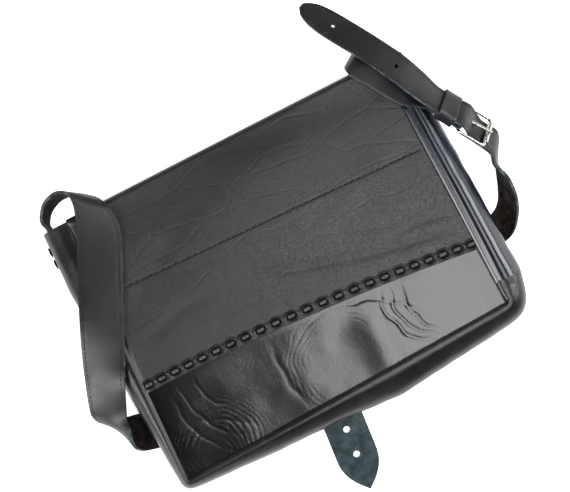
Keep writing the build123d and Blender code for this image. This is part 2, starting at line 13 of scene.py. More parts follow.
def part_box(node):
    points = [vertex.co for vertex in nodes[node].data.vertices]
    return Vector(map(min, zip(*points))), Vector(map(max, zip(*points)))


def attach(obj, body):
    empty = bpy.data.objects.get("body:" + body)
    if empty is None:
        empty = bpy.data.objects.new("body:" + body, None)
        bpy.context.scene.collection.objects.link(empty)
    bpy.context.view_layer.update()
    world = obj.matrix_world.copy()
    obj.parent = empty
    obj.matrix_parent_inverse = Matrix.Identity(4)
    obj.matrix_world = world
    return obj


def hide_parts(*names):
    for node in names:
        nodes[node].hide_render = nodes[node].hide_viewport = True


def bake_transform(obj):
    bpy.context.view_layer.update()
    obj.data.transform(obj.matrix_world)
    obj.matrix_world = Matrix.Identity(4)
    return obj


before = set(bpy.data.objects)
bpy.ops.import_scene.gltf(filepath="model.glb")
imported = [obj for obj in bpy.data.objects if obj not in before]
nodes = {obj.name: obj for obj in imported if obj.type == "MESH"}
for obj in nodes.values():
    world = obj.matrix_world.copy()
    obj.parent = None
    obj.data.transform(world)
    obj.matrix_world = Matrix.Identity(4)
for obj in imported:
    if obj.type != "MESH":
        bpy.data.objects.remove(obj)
bpy.ops.object.select_all(action="DESELECT")
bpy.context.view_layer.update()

MM = 0.001

# %% [markdown]
# ## Camera and light
# The bag is seen from straight above, turned a little. Black leather shows hardly any colour of its
# own: its shape is read from what it mirrors. One wide softbox overhead and two at the sides give long
# soft gleams, and a sky that is dark at its top keeps the rest of the hide black.

# %% Camera
TURN = 27.2
bpy.ops.object.camera_add(location=(0.0063, 0.02, 1.211), rotation=(0, 0, -radians(TURN)))
camera = bpy.context.object
camera.data.lens = 80
camera.data.sensor_width = 36
bpy.context.scene.camera = camera
print("camera", camera.data.lens, "mm lens, turned", TURN, "degrees")

# %% Softboxes


def softbox(name, place, aim, size, power):
    """A square area light at a place, turned to a point."""
    bpy.ops.object.light_add(type="AREA", location=place)
    lamp = bpy.context.object
    lamp.name = name
    lamp.data.shape = "RECTANGLE"
    lamp.data.size, lamp.data.size_y = size
    lamp.data.energy = power
    lamp.rotation_euler = (Vector(aim) - Vector(place)).to_track_quat("-Z", "Y").to_euler()
    print(name, power, "W")


softbox("overhead_softbox", (0.24, -0.23, 1.5), (0.24, -0.23, 0), (0.62, 0.72), 9.5)
softbox("side_softbox", (-1.5, -0.5, 1.1), (0, 0, 0), (0.8, 1.2), 32)
softbox("far_softbox", (0.7, 1.6, 1.2), (0, 0, 0), (1.3, 0.7), 3)
softbox("right_softbox", (1.7, -0.2, 1.0), (0, 0, 0), (0.6, 1.2), 26)

# %% [markdown]
# ## Colours and nodes
# Colours are written as the hex values a painter would pick and turned to linear light by one function.
# One other small function adds a shader node, sets it and links it.

# %% Helpers for materials


def hex_colour(code):
    """Linear colour of an sRGB hex code."""
    values = [int(code[i : i + 2], 16) / 255 for i in (1, 3, 5)]
    return (*[v / 12.92 if v <= 0.04045 else ((v + 0.055) / 1.055) ** 2.4 for v in values], 1)


def add_node(tree, kind, settings=None, values=None, links=None):
    """Adds one node, sets its settings and input values, and links its inputs."""
    node = tree.nodes.new(kind)
    for key, value in (settings or {}).items():
        setattr(node, key, value)
    for key, value in (values or {}).items():
        node.inputs[key].default_value = value
    for key, socket in (links or {}).items():
        tree.links.new(socket, node.inputs[key])
    return node


def ramp_stops(node, stops):
    """Sets a colour ramp's stops from (position, hex) pairs."""
    elements = node.color_ramp.elements
    while len(elements) < len(stops):
        elements.new(0.5)
    for element, (position, code) in zip(elements, stops):
        element.position = position
        element.color = hex_colour(code)


# %% Sky and floor
world = bpy.data.worlds.new("studio_sky")
bpy.context.scene.world = world
world.use_nodes = True
sky = world.node_tree
sky.nodes.clear()
sky_way = add_node(sky, "ShaderNodeTexCoord")
sky_split = add_node(sky, "ShaderNodeSeparateXYZ", links={"Vector": sky_way.outputs["Generated"]})
sky_ramp = add_node(sky, "ShaderNodeValToRGB", links={"Fac": sky_split.outputs["Z"]})
ramp_stops(sky_ramp, [(0.0, "#ffffff"), (0.35, "#c4c6ca"), (0.7, "#303134"), (1.0, "#101012")])
sky_light = add_node(
    sky, "ShaderNodeBackground", values={"Strength": 0.5}, links={"Color": sky_ramp.outputs["Color"]}
)
add_node(sky, "ShaderNodeOutputWorld", links={"Surface": sky_light.outputs["Background"]})

bpy.ops.mesh.primitive_plane_add(size=8, location=(0, 0, -0.0006))
floor = bpy.context.object
floor.name = "studio_floor"
white_card = bpy.data.materials.new("white_card")
white_card.use_nodes = True
card = white_card.node_tree.nodes["Principled BSDF"]
card.inputs["Base Color"].default_value = hex_colour("#fbfbfb")
card.inputs["Roughness"].default_value = 0.9
card.inputs["Specular IOR Level"].default_value = 0.1
card.inputs["Emission Color"].default_value = hex_colour("#ffffff")
card.inputs["Emission Strength"].default_value = 0.8
floor.data.materials.append(white_card)
bpy.context.scene.view_settings.view_transform = "Standard"
print("sky and floor in place")

# %% [markdown]
# ## Leathers
# Cowhide is a dermis of fibres under a thin grain layer. Light scatters a little in it and the finish on
# top gives the gloss. All the leathers here share a recipe: a base colour with slow cloudy changes, a
# pebble grain about half a millimetre wide, creases, and a gloss that changes from place to place.

# %% Leather recipe


def leather(
    name,
    colours,
    gloss,
    grain_mm,
    grain_depth,
    cloud_mm=45,
    crease=None,
    coat=0.0,
    coat_gloss=0.1,
    stretch=(1, 1, 1),
):
    """A dyed hide. colours: dark, middle, light. gloss: low and high roughness.

    crease: pitch and depth of the creases in mm, and how much they swirl.
    """
    material = bpy.data.materials.new(name)
    material.use_nodes = True
    tree = material.node_tree
    skin = tree.nodes["Principled BSDF"]
    skin.inputs["IOR"].default_value = 1.48
    skin.inputs["Coat Weight"].default_value = coat
    skin.inputs["Coat Roughness"].default_value = coat_gloss
    place = add_node(tree, "ShaderNodeTexCoord")
    spot = add_node(
        tree, "ShaderNodeMapping", values={"Scale": stretch}, links={"Vector": place.outputs["Object"]}
    )
    cloud = add_node(
        tree,
        "ShaderNodeTexNoise",
        values={"Scale": 1000 / cloud_mm, "Detail": 5, "Roughness": 0.6, "Distortion": 0.6},
        links={"Vector": spot.outputs["Vector"]},
    )
    dye = add_node(tree, "ShaderNodeValToRGB", links={"Fac": cloud.outputs["Fac"]})
    ramp_stops(dye, [(0.3, colours[0]), (0.5, colours[1]), (0.72, colours[2])])
    grain = add_node(
        tree,
        "ShaderNodeTexVoronoi",
        {"feature": "DISTANCE_TO_EDGE"},
        {"Scale": 1000 / grain_mm, "Randomness": 1.0},
        {"Vector": place.outputs["Object"]},
    )
    pebbles = add_node(
        tree,
        "ShaderNodeMapRange",
        {"interpolation_type": "SMOOTHSTEP"},
        {"From Min": 0.0, "From Max": 0.35},
        {"Value": grain.outputs["Distance"]},
    )
    fuzz = add_node(
        tree,
        "ShaderNodeTexNoise",
        values={"Scale": 1000 / (grain_mm * 2.5), "Detail": 4},
        links={"Vector": place.outputs["Object"]},
    )
    height = add_node(
        tree,
        "ShaderNodeMath",
        {"operation": "MULTIPLY_ADD"},
        {2: 0.0},
        {0: pebbles.outputs["Result"], 1: fuzz.outputs["Fac"]},
    )
    bump = add_node(
        tree,
        "ShaderNodeBump",
        values={"Strength": 0.55, "Distance": grain_depth * MM},
        links={"Height": height.outputs["Value"]},
    )
    if crease:
        crease_mm, crease_depth, swirl = crease
        drift = add_node(
            tree,
            "ShaderNodeTexNoise",
            values={"Scale": 1000 / (crease_mm * 2.2), "Detail": 2},
            links={"Vector": spot.outputs["Vector"]},
        )
        bent = add_node(
            tree,
            "ShaderNodeVectorMath",
            {"operation": "MULTIPLY_ADD"},
            {1: (swirl, swirl, swirl)},
            {0: drift.outputs["Color"], 2: spot.outputs["Vector"]},
        )
        lines = add_node(
            tree,
            "ShaderNodeTexVoronoi",
            {"feature": "DISTANCE_TO_EDGE"},
            {"Scale": 1000 / crease_mm},
            {"Vector": bent.outputs["Vector"]},
        )
        valley = add_node(
            tree,
            "ShaderNodeMapRange",
            {"interpolation_type": "SMOOTHSTEP"},
            {"From Min": 0.0, "From Max": 0.07},
            {"Value": lines.outputs["Distance"]},
        )
        creases = add_node(
            tree,
            "ShaderNodeBump",
            values={"Strength": 0.6, "Distance": crease_depth * MM},
            links={"Height": valley.outputs["Result"], "Normal": bump.outputs["Normal"]},
        )
        bump = creases
    shine = add_node(
        tree,
        "ShaderNodeMapRange",
        values={"From Min": 0.3, "From Max": 0.7, "To Min": gloss[0], "To Max": gloss[1]},
        links={"Value": cloud.outputs["Fac"]},
    )
    tree.links.new(dye.outputs["Color"], skin.inputs["Base Color"])
    tree.links.new(shine.outputs["Result"], skin.inputs["Roughness"])
    tree.links.new(bump.outputs["Normal"], skin.inputs["Normal"])
    if coat:
        tree.links.new(bump.outputs["Normal"], skin.inputs["Coat Normal"])
    return material


# %% Leathers of this bag
# oiled cowhide: rubbed with wax, so charcoal with a soft grey sheen
oiled_cowhide = leather(
    "oiled_cowhide",
    ("#111012", "#19181a", "#232224"),
    (0.34, 0.44),
    1.3,
    0.3,
    60,
    (26, 0.13, 0.02),
    0.3,
    0.38,
    (0.5, 1, 1),
)
# glazed cowhide: polished under pressure, near black, creasing into fine pale lines
glazed_cowhide = leather(
    "glazed_cowhide",
    ("#020202", "#050505", "#0a0a0b"),
    (0.2, 0.28),
    1.1,
    0.012,
    50,
    (6, 0.02, 0.02),
    0.35,
    0.12,
    (1, 0.42, 1),
)
# navy calf: aniline dyed and glazed
navy_blues = ("#020610", "#05101c", "#0a1b2b")
navy_calf = leather("navy_calf", navy_blues, (0.2, 0.28), 1.0, 0.012, 80, None, 0.1, 0.12)
# roll leather: softer hide of the rolled sides, a touch of purple in its black
roll_blacks = ("#0f0e11", "#18171a", "#232226")
roll_hide = leather("roll_hide", roll_blacks, (0.27, 0.36), 0.9, 0.06, 40, (30, 0.1, 0.01))
# bridle leather: the belt's grain side, printed with a fine grain
belt_grain = leather("belt_grain", ("#0d0c0d", "#141314", "#1d1c1d"), (0.34, 0.48), 0.8, 0.12, 25)
# smooth strap leather: the buckle's strap and the keeper, ironed flat
smooth_strap = leather("smooth_strap", ("#131316", "#1c1c1f", "#29292c"), (0.3, 0.42), 0.6, 0.03, 30)
print("leathers", len(bpy.data.materials) - 1)


# %% [markdown]
# ## Flesh side and cut edges
# The back of a hide is napped: short fibres that scatter light evenly, with darker specks where they
# mat together. A cut edge shows the hide's middle, which the dye hardly reaches: grey green, rubbed dark
# in places.

# %% Napped leather
PATCH_MM = 8  # how wide the darker patches are where fibres mat together


def napped(name, colours, nap_mm, depth, rough=0.95):
    """The flesh side of a hide, or its cut edge."""
    material = bpy.data.materials.new(name)
    material.use_nodes = True
    tree = material.node_tree
    skin = tree.nodes["Principled BSDF"]
    skin.inputs["Roughness"].default_value = rough
    skin.inputs["Specular IOR Level"].default_value = 0.25
    place = add_node(tree, "ShaderNodeTexCoord")
    nap = add_node(
        tree,
        "ShaderNodeTexNoise",
        values={"Scale": 1000 / nap_mm, "Detail": 6, "Roughness": 0.7},
        links={"Vector": place.outputs["Object"]},
    )
    patch = add_node(
        tree,
        "ShaderNodeTexNoise",
        values={"Scale": 1000 / PATCH_MM, "Detail": 3},
        links={"Vector": place.outputs["Object"]},
    )
    both = add_node(
        tree,
        "ShaderNodeMath",
        {"operation": "MULTIPLY_ADD"},
        {1: 0.6},
        {0: nap.outputs["Fac"], 2: patch.outputs["Fac"]},
    )
    dye = add_node(tree, "ShaderNodeValToRGB", links={"Fac": both.outputs["Value"]})
    ramp_stops(dye, [(0.55, colours[0]), (0.8, colours[1]), (1.0, colours[2])])
    bump = add_node(
        tree,
        "ShaderNodeBump",
        values={"Strength": 0.7, "Distance": depth * MM},
        links={"Height": nap.outputs["Fac"]},
    )
    tree.links.new(dye.outputs["Color"], skin.inputs["Base Color"])
    tree.links.new(bump.outputs["Normal"], skin.inputs["Normal"])
    return material


tongue_suede = napped("tongue_suede", ("#262f31", "#323e41", "#445154"), 0.9, 0.3)
belt_suede = napped("belt_suede", ("#0d0b0b", "#1f1a19", "#3a312d"), 1.0, 0.3)
cut_edge = napped("cut_edge", ("#1b2023", "#3a4347", "#667176"), 1.5, 0.2, 0.7)
dark_edge = napped("dark_edge", ("#0a0a0b", "#17171a", "#2c2c30"), 1.5, 0.2, 0.6)
lining_suede = napped("lining_suede", ("#17181a", "#222325", "#303133"), 1.2, 0.25)

# %% [markdown]
# ## Metal, lace and thread
# The buckle is nickel plated wire: bright, with fine polishing marks that blur its gleams a little. The
# stud is brass gone dull and the rivets are blackened brass. Lace is a strip of waxed leather, thread is
# waxed and nearly black.

# %% Metal, lace and thread


def plated(name, colour, rough, mark_mm):
    """Polished metal whose gloss changes with fine marks."""
    material = bpy.data.materials.new(name)
    material.use_nodes = True
    tree = material.node_tree
    metal = tree.nodes["Principled BSDF"]
    metal.inputs["Metallic"].default_value = 1
    place = add_node(tree, "ShaderNodeTexCoord")
    marks = add_node(
        tree,
        "ShaderNodeTexNoise",
        values={"Scale": 1000 / mark_mm, "Detail": 6, "Roughness": 0.7},
        links={"Vector": place.outputs["Object"]},
    )
    tint = add_node(tree, "ShaderNodeValToRGB", links={"Fac": marks.outputs["Fac"]})
    ramp_stops(tint, [(0.3, colour[0]), (0.7, colour[1])])
    gloss = add_node(
        tree,
        "ShaderNodeMapRange",
        values={"To Min": rough[0], "To Max": rough[1]},
        links={"Value": marks.outputs["Fac"]},
    )
    bump = add_node(
        tree,
        "ShaderNodeBump",
        values={"Strength": 0.2, "Distance": 0.00003},
        links={"Height": marks.outputs["Fac"]},
    )
    tree.links.new(tint.outputs["Color"], metal.inputs["Base Color"])
    tree.links.new(gloss.outputs["Result"], metal.inputs["Roughness"])
    tree.links.new(bump.outputs["Normal"], metal.inputs["Normal"])
    return material


nickel_wire = plated("nickel_wire", ("#b9b6ae", "#dcdad4"), (0.1, 0.22), 2.5)
dull_brass = plated("dull_brass", ("#6d5a35", "#94794a"), (0.28, 0.45), 3)
waxed_lace = leather("waxed_lace", ("#242225", "#3a383b", "#504e51"), (0.35, 0.5), 0.7, 0.08, 12)
waxed_thread = napped("waxed_thread", ("#070708", "#121213", "#2a2a2c"), 0.5, 0.1, 0.55)
belt_thread = napped("belt_thread", ("#0a0a0b", "#1d1d20", "#48484d"), 0.7, 0.1, 0.5)
blackened_brass = plated("blackened_brass", ("#0c0c0d", "#1b1a1a"), (0.3, 0.45), 3)

# %% [markdown]
# ## Hides from grids
# A hide is a flat piece that has been bent, so each one starts as a grid. Its rows are laid along the
# shape the leather takes, and Solidify then gives it the thickness of a hide, with its own material on
# the flesh side and on the cut edge.

# %% Laying a grid


def smooth_rows(stops, steps):
    """Rows of numbers run smoothly through the stops, steps rows for each gap."""
    stops = np.array(stops, float)
    padded = np.vstack([2 * stops[0] - stops[1], stops, 2 * stops[-1] - stops[-2]])
    rows = []
    for i in range(1, len(padded) - 2):
        before, here, there, after = padded[i - 1 : i + 3]
        for k in range(steps):
            t = k / steps
            rows.append(
                0.5
                * (
                    2 * here
                    + (there - before) * t
                    + (2 * before - 5 * here + 4 * there - after) * t**2
                    + (3 * here - before - 3 * there + after) * t**3
                )
            )
    rows.append(stops[-1])
    return np.array(rows)


def lay_grid(name, points):
    """A grid whose rows and columns stand at the given points, in millimetres."""
    points = np.array(points, float)
    count_rows, count_columns = points.shape[:2]
    bpy.ops.mesh.primitive_grid_add(x_subdivisions=count_columns - 1, y_subdivisions=count_rows - 1, size=1)
    hide = bpy.context.object
    hide.name = hide.data.name = name
    hide.data.vertices.foreach_set("co", (points * MM).reshape(-1))
    hide.data.update()
    return hide


def finish_hide(hide, thickness, materials, bevel=0.4, angle=50, offset=-1):
    """Gives a hide its thickness and softened edges, with grain, flesh and edge materials."""
    for material in materials:
        hide.data.materials.append(material)
    bpy.context.view_layer.objects.active = hide
    thick = hide.modifiers.new("thickness", "SOLIDIFY")
    thick.thickness = thickness * MM
    thick.offset = offset
    thick.use_even_offset = False
    thick.material_offset = 1
    thick.material_offset_rim = 2
    bpy.ops.object.modifier_apply(modifier=thick.name)
    if bevel:
        soft = hide.modifiers.new("edges", "BEVEL")
        soft.width = bevel * MM
        soft.segments = 2
        soft.limit_method = "ANGLE"
        soft.angle_limit = radians(angle)
        bpy.ops.object.modifier_apply(modifier=soft.name)
    hide.select_set(True)
    bpy.ops.object.shade_smooth_by_angle(angle=radians(40))
    hide.select_set(False)
    print(hide.name, len(hide.data.polygons), "faces")
    return hide


def hill(away, width):
    """A smooth hill: 1 at its middle, fading over its width."""
    return 2.718 ** (-((away / width) ** 2))


def ripple(x, y, size, seed=0.0):
    """Slow random height between -1 and 1 at a place, size in millimetres."""
    return noise.noise(Vector((x / size + seed, y / size - seed, seed)))


# %% [markdown]
# ## The back hide and its fold
# The upper hide runs from the laced seam to the top fold, where the same leather turns down and becomes
# the flap. Its grid is densest at the seam, so that each pair of slots can pucker: the lace pulls the
# hide down at its two holes and leaves a raised lip round them. Long soft creases cross the hide where
# the bag has been bent over its contents.

# %% Outline of the back
TOP_LEFT, TOP_RIGHT = Vector((-161.5, 131)), Vector((161.5, 131))
LOW_LEFT, LOW_RIGHT = Vector((-171.5, -131)), Vector((164.5, -120))
BACK_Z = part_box("back_panel_upper")[1].z / MM
LOWER_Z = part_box("back_panel_lower")[1].z / MM
SEAM_LEFT, SEAM_RIGHT, SEAM_CROWN = -36.0, -57.0, 6.0
LACE_COUNT, LACE_END = 23, 5.5


def side_x(y, left):
    """The back's edge at a height."""
    top, low = (TOP_LEFT, LOW_LEFT) if left else (TOP_RIGHT, LOW_RIGHT)
    return top.x + (low.x - top.x) * (top.y - y) / (top.y - low.y)


def seam_point(share, shift=0.0):
    """A point of the laced seam, moved up by shift."""
    left_y, right_y = SEAM_LEFT + shift, SEAM_RIGHT + shift
    left, right = side_x(left_y, True), side_x(right_y, False)
    crown = 4 * SEAM_CROWN * share * (1 - share)
    return Vector((left + (right - left) * share, left_y + (right_y - left_y) * share + crown))


seam_length = (seam_point(1) - seam_point(0)).length
lace_steps = [1 + 0.16 * sin(pi * (i + 0.5) / (LACE_COUNT - 1)) ** 2 for i in range(LACE_COUNT - 1)]
lace_reach = seam_length - 2 * LACE_END
lace_run = [lace_reach * sum(lace_steps[:i]) / sum(lace_steps) for i in range(LACE_COUNT)]
lace_shares = [(LACE_END + walked) / seam_length for walked in lace_run]
lace_spots = [seam_point(s) for s in lace_shares]
lace_ways = [(seam_point(s + 0.01) - seam_point(s - 0.01)).normalized() for s in lace_shares]
print("laces", len(lace_spots), "last at", round(lace_spots[-1].x))

# long creases: two ends, a bend, a depth and a width
UPPER_CREASES = (
    ((-41, 15), (141, -35), 6, 0.8, 4.5),
    ((-146, 0), (-51, 11), -6, 0.5, 7),
    ((90, -18), (158, -24), -4, 0.6, 3.0),
    ((60, 8), (150, -8), 5, 0.35, 4),
    ((-150, 20), (-40, 95), -8, 0.3, 9),
)
LOWER_CREASES = (
    ((-150, -58), (-128, -120), 6, 0.15, 1.6),
    ((-140, -50), (-112, -112), 8, 0.13, 1.4),
    ((-124, -52), (-100, -84), 8, 0.12, 1.4),
    ((-165, -84), (-95, -112), -8, 0.12, 1.4),
    ((-46, -56), (-40, -118), 5, 0.14, 3.0),
    ((-8, -52), (92, -92), -16, 0.25, 1.8),
    ((62, -60), (84, -118), 10, 0.4, 1.8),
    ((72, -58), (92, -116), 10, 0.35, 1.6),
    ((84, -62), (98, -114), 8, 0.35, 1.6),
)


def crease_depth(x, y, creases):
    """How far the long creases press the hide down at a place."""
    depth = 0.0
    for start, end, bend, deep, wide in creases:
        ax, ay = start
        dx, dy = end[0] - ax, end[1] - ay
        length = (dx * dx + dy * dy) ** 0.5
        share = ((x - ax) * dx + (y - ay) * dy) / length**2
        if -0.15 < share < 1.15:
            aside = ((x - ax) * dy - (y - ay) * dx) / length - bend * 4 * share * (1 - share)
            fade = max(0.0, min(1.0, (0.15 + min(share, 1 - share)) / 0.35))
            if abs(aside) < 4 * wide:
                depth += deep * fade * hill(aside, wide)
    return depth


# fans of short folds: centre, middle radius, half width, depth
FANS = (
    (-133, -117, 30, 20, 0.2),
    (8, -100, 47, 10, 0.11),
    (111, -126, 46, 8, 0.12),
    (-95, -30, 40, 12, 0.05),
)
FOLD_PITCH = 4.4


def fan_folds(x, y):
    """Rings of fine folds where the glazed hide was squeezed."""
    depth = 0.0
    wave_x, wave_y = x + 6 * ripple(x, y, 24, 3), y + 6 * ripple(x, y, 21, 8)
    for middle_x, middle_y, radius, half, deep in FANS:
        away = ((wave_x - middle_x) ** 2 + (wave_y - middle_y) ** 2) ** 0.5
        if abs(away - radius) < 2.5 * half:
            valley = (1 - abs(sin(pi * away / FOLD_PITCH))) ** 2
            strength = max(0.0, 0.6 + 0.9 * ripple(x, y, 13, 2))
            depth += deep * strength * valley * hill(away - radius, half)
    return depth


def pucker(x, y):
    """The hide's rise and dip round the lace's slots."""
    rise = 0.0
    for spot, way in zip(lace_spots, lace_ways):
        dx, dy = x - spot.x, y - spot.y
        if abs(dx) > 9 or abs(dy) > 9:
            continue
        along, across = dx * way.x + dy * way.y, -dx * way.y + dy * way.x
        oval = ((along / 5.6) ** 2 + (across / 3.7) ** 2) ** 0.5
        rise += 0.75 * hill(oval - 1.12, 0.22)
        if oval < 1:
            rise -= 2.8 * (1 - oval**4)
    return rise


# %% Upper hide
COLUMNS = 301
TOP_WIDTH = 323.0
TOP_FACE_Y = 133.2  # outside of the top fold, which has its own radius and centre
TOP_FOLD_R, TOP_FOLD_Y, TOP_FOLD_Z = 4.8, 128.4, 49.4
TOP_FLAT_Y = 127.8  # where the back turns flat after the fold
UPPER_SHIFT, LOWER_SHIFT = -6.0, 7.0  # where the two hides start, measured from the seam
shares_across = np.linspace(0, 1, COLUMNS)
# rows are close together at the stitching and at the lace
row_bands = ((0, 0.415, 30), (0.42, 0.468, 34), (0.48, 0.84, 28), (0.848, 1, 46))
down_shares = np.concatenate([np.linspace(*band) for band in row_bands])
STITCH_FROM = Vector((side_x(54, True) + 6, 54))
STITCH_TO = Vector((side_x(42, False) - 6, 42))
stitch_way = STITCH_TO - STITCH_FROM
STITCH_COUNT = 48


def sewn_dip(x, y):
    """The line pressed into the hide by the stitching, deepest at the needle holes."""
    share = (x - STITCH_FROM.x) / stitch_way.x
    aside = y - STITCH_FROM.y - stitch_way.y * share
    if abs(aside) > 6 or not 0 < share < 1:
        return 0.0
    hole = abs(2 * ((share * STITCH_COUNT) % 1) - 1)
    return 0.18 * hill(aside, 1.4) + 0.8 * hole**6 * hill(aside, 0.9)


def swell(share, down):
    """The upper hide stands a little fuller below its top fold."""
    return 20.0 * down * (1 - down) ** 2 * sin(pi * share) ** 2


def upper_rows():
    """Rows from below the top fold's outside, over the fold, down to the cut edge."""
    rows = []
    outside = [(TOP_FACE_Y, z) for z in (46.5, 47.8, 49.0)]
    for angle in (20, 40, 60, 78):
        a = radians(angle)
        outside.append((TOP_FOLD_Y + TOP_FOLD_R * cos(a), TOP_FOLD_Z + TOP_FOLD_R * sin(a)))
    for y, z in outside:
        rows.append([(TOP_LEFT.x + TOP_WIDTH * s, y, z) for s in shares_across])
    for t in down_shares:
        row = []
        for s in shares_across:
            top = Vector((TOP_LEFT.x + TOP_WIDTH * s, TOP_FLAT_Y))
            low = seam_point(s, UPPER_SHIFT)
            x, y = top + (low - top) * t
            edge = min(s, 1 - s) * TOP_WIDTH
            turn = -1.6 * max(0.0, 1 - edge / 4.5) ** 2
            soft = 0.5 * ripple(x, y, 70, 3) + 0.14 * ripple(x, y, 28, 7)
            fade = min(1.0, t * 8)
            fall = -2.2 * max(0.0, 1 - t / 0.3) ** 2 * fade
            creased = crease_depth(x, y, UPPER_CREASES)
            z = BACK_Z + 0.2 + turn + fall + fade * (soft + 0.8 * sin(pi * s) - creased)
            z += swell(s, t)
            if t > 0.84:
                z += pucker(x, y)
            z -= sewn_dip(x, y)
            row.append((x, y, z))
        rows.append(row)
    last = rows[-1]
    rows.append([(x, y - 0.5, z - 0.9) for x, y, z in last])
    return rows


back_hide = lay_grid("back_hide", upper_rows()[::-1])
finish_hide(back_hide, 1.6, (oiled_cowhide, lining_suede, dark_edge), bevel=0)
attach(back_hide, "bag")
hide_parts("back_panel_upper")

# %% [markdown]
# ## The glazed lower hide
# The lower back is another hide, glazed to a mirror. A mirror shows every bend of its surface, so here the
# creases are real dents in a fine grid: fans of short curved folds near the corners, and one smooth ridge
# and one hollow that gather the softbox's light in some places and turn it away in others.

# %% Lower hide
LOWER_WIDTH, LOWER_DROP = 330, 85


def lower_rows():
    """Rows of the glazed hide from the seam to its lower edge."""
    rows = []
    for t in np.linspace(0, 1, 130):
        row = []
        for s in shares_across:
            top = seam_point(s, LOWER_SHIFT)
            low = LOW_LEFT + (LOW_RIGHT - LOW_LEFT) * s
            x, y = top + (low - top) * t
            edge = min(s * LOWER_WIDTH, (1 - s) * LOWER_WIDTH, (1 - t) * LOWER_DROP)
            turn = -0.5 * max(0.0, 1 - edge / 4) ** 2
            soft = 0.7 * ripple(x, y, 60, 11) + 0.16 * ripple(x, y, 20, 5) + 0.02 * ripple(x, y, 7, 2)
            ease = min(1.0, max(0.0, (t - 0.16) * 3.5))
            dish = 1.6 * ease * hill(x - 46, 17) - 0.8 * hill(x + 70, 28)
            depth = crease_depth(x + 4 * ripple(x, y, 18, 9), y + 4 * ripple(x, y, 15, 1), LOWER_CREASES)
            depth += fan_folds(x, y)
            fade = min(1.0, max(0.0, (t - 0.14) * 12))
            row.append((x, y, LOWER_Z - 0.2 + turn + fade * (soft + dish - depth)))
        rows.append(row)
    return rows


glazed_hide = lay_grid("glazed_hide", lower_rows()[::-1])
finish_hide(glazed_hide, 1.6, (glazed_cowhide, lining_suede, dark_edge), bevel=0)
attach(glazed_hide, "bag")
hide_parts("back_panel_lower")

# %% [markdown]
# ## The flap
# Below the top fold the same hide hangs down the bag's top side, folds again and lies under the bag as
# its flap. One grid covers both.

# %% Flap
FLAP_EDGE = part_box("flap_front")[0].y / MM
CORNER = 30.0


def flap_rows():
    """Rows from the top fold down the bag's top side, round the second fold and along the flap."""
    rows = []
    profile = [(TOP_FACE_Y, z) for z in np.linspace(46.5, 9, 16)]
    profile += [(133.1, 7), (132.9, 5.2), (132.3, 3.4), (131.2, 1.9)]
    profile += [(129.8, 0.9), (128.2, 0.35), (126.5, 0.1)]
    profile += [(y, 0.05) for y in np.linspace(124, FLAP_EDGE, 84)]
    for y, z in profile:
        over = max(0.0, FLAP_EDGE + CORNER - y)
        inset = CORNER - max(0.0, CORNER**2 - over**2) ** 0.5
        half = 161.5 - min(inset, CORNER - 0.4)
        row = []
        for k in np.linspace(-1, 1, 121):
            x = half * k
            soft = 0.5 * abs(ripple(x, y, 45, 4)) * min(1, max(0, (124 - y) / 20)) if z < 1 else 0.0
            bulge = 0.4 * ripple(x, z * 3, 60, 8) if 8 < z < 42 else 0.0
            row.append((x, y + bulge, z + soft))
        rows.append(row)
    return rows


flap_hide = lay_grid("flap_hide", flap_rows())
finish_hide(flap_hide, 2.0, (oiled_cowhide, lining_suede, dark_edge), bevel=0)
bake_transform(flap_hide)
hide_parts("flap_top", "flap_front")

# %% [markdown]
# ## Rolled sides
# A gusset joins back and front. It is one long strip, turned and sewn at both edges so that it stands
# out like a roll. It is laid through stops round the bag: where it is, which way it faces, how far it
# bulges and how high its crown stands over the back.

# %% Gussets


def rolled_side(name, stops, steps, hides, start_in=2.8, welt=False):
    """A roll through stops of (x, y, way in degrees, bulge, edge height, crown)."""
    rows = []
    for x, y, way, bulge, edge, crown in smooth_rows(stops, steps):
        a = radians(way)
        wobble = 1 + 0.03 * ripple(x, y, 16, 6)
        b = bulge * wobble
        shape = [
            (-start_in, edge - 4.6),
            (-start_in + 0.6, edge - 2.6),
            (0.8 - 0.6 * start_in, edge + crown * 0.6),
            (0.16 * b + 1, edge + crown),
            (0.45 * b, edge + crown * 0.35 - 0.4),
            (0.75 * b, edge - 4.2),
            (0.95 * b, edge - 11),
            (b, (edge + 14) / 2),
            (0.95 * b, 23),
            (0.7 * b, 16.4),
            (0.35 * b, 14.2),
            (-0.5, 13.9),
        ]
        if welt:
            shape[1:5] = [
                (0.8 - start_in, edge - 2.2),
                (2.4 - start_in, edge + 1.0),
                (0.8, edge - 0.6),
                (3.4, edge + 0.5 * crown),
                (0.34 * b, edge + crown),
                (0.56 * b, edge + crown - 1.8),
            ]
        section = smooth_rows(shape, 3)
        rows.append([(x + cos(a) * u, y + sin(a) * u, z) for u, z in section])
    roll = lay_grid(name, rows)
    finish_hide(roll, 1.8, hides, bevel=0)
    return roll


